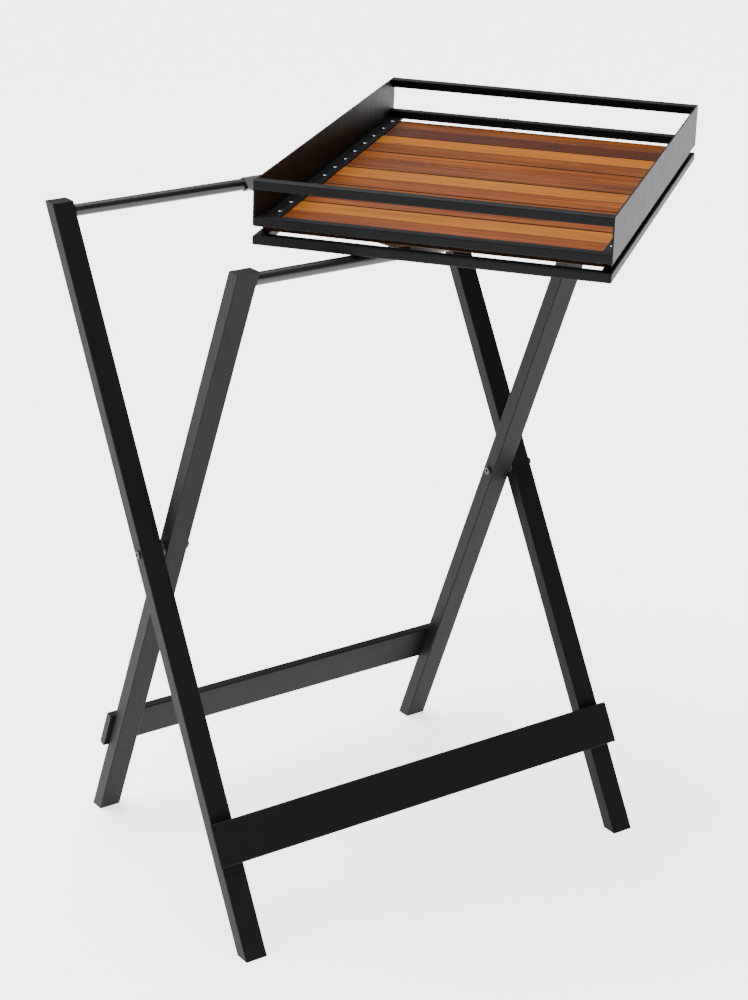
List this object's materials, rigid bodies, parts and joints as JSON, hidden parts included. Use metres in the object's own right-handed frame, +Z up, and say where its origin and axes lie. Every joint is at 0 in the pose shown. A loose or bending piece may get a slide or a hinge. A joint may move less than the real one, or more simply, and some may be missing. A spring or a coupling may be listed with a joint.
{
  "type": "folding tray table",
  "caption": "Folding tray table: crossed black steel leg frames on pivot bolts, a webbing stop strap, and a lift-off tray with a slatted wooden floor laid on top.",
  "frame": {"origin": "on the floor, in the middle of the whole table's footprint box, with the tray lying as it does at rest", "axes": "+Z up; X along the two top rods and the boards; Y across, from the near board to the far board"},
  "size_m": [0.8992, 0.7482, 0.9277],
  "materials": {
    "black_steel": "satin powder coat",
    "black_bolt": "black zinc",
    "sleeve_steel": "plain",
    "screw_steel": "polished",
    "wood_light": "oiled",
    "wood_red": "oiled",
    "wood_brown": "oiled",
    "webbing": "woven",
    "plug_plastic": "moulded"
  },
  "bodies": {
    "outer_frame": {"outer_leg_left": "black_steel", "outer_leg_right": "black_steel", "outer_top_caps": "black_steel", "outer_foot_plugs": "plug_plastic", "outer_rod": "black_steel", "outer_rod_welds": "black_steel", "near_board": "black_steel", "near_board_caps": "black_steel", "near_board_welds": "black_steel", "pivot_bolts": "black_bolt", "pivot_nuts": "black_bolt", "pivot_spacers": "plug_plastic", "strap_loop_far": "webbing", "strap_web": "webbing"},
    "inner_frame": {"inner_leg_left": "black_steel", "inner_leg_right": "black_steel", "inner_top_caps": "black_steel", "inner_foot_plugs": "plug_plastic", "inner_rod": "black_steel", "inner_rod_welds": "black_steel", "far_board": "black_steel", "far_board_caps": "black_steel", "far_board_welds": "black_steel", "pivot_sleeves": "sleeve_steel", "strap_loop_near": "webbing"},
    "tray": {"base_bar_front": "black_steel", "base_bar_right": "black_steel", "base_bar_back": "black_steel", "base_bar_left": "black_steel", "front_strip": "wood_brown", "slat_01": "wood_brown", "slat_02": "wood_red", "slat_03": "wood_light", "slat_04": "wood_brown", "slat_05": "wood_red", "slat_06": "wood_light", "slat_07": "wood_brown", "slat_08": "wood_red", "slat_09": "wood_light", "slat_10": "wood_brown", "slat_11": "wood_red", "slat_12": "wood_light", "front_lower_rail": "black_steel", "front_upper_rail": "black_steel", "back_lower_rail": "black_steel", "back_upper_rail": "black_steel", "left_panel": "black_steel", "left_screws": "screw_steel", "right_panel": "black_steel", "right_screws": "screw_steel"}
  },
  "joints": [
    {"name": "fold", "type": "hinge", "parent": "outer_frame", "child": "inner_frame", "pos_m": [-0.1396, 0.03771, 0.4455], "axis": [-1, 0, 0], "range_deg": [0, 50], "deforming": ["strap_web"]},
    {"name": "tray_lift", "type": "slide", "parent": "outer_frame", "child": "tray", "axis": [0, 0, 1], "range_m": [0, 0.35]}
  ],
  "couplings": [
    {"joint": "tray_lift", "follows": "fold", "m_per_rad": 0.4}
  ]
}
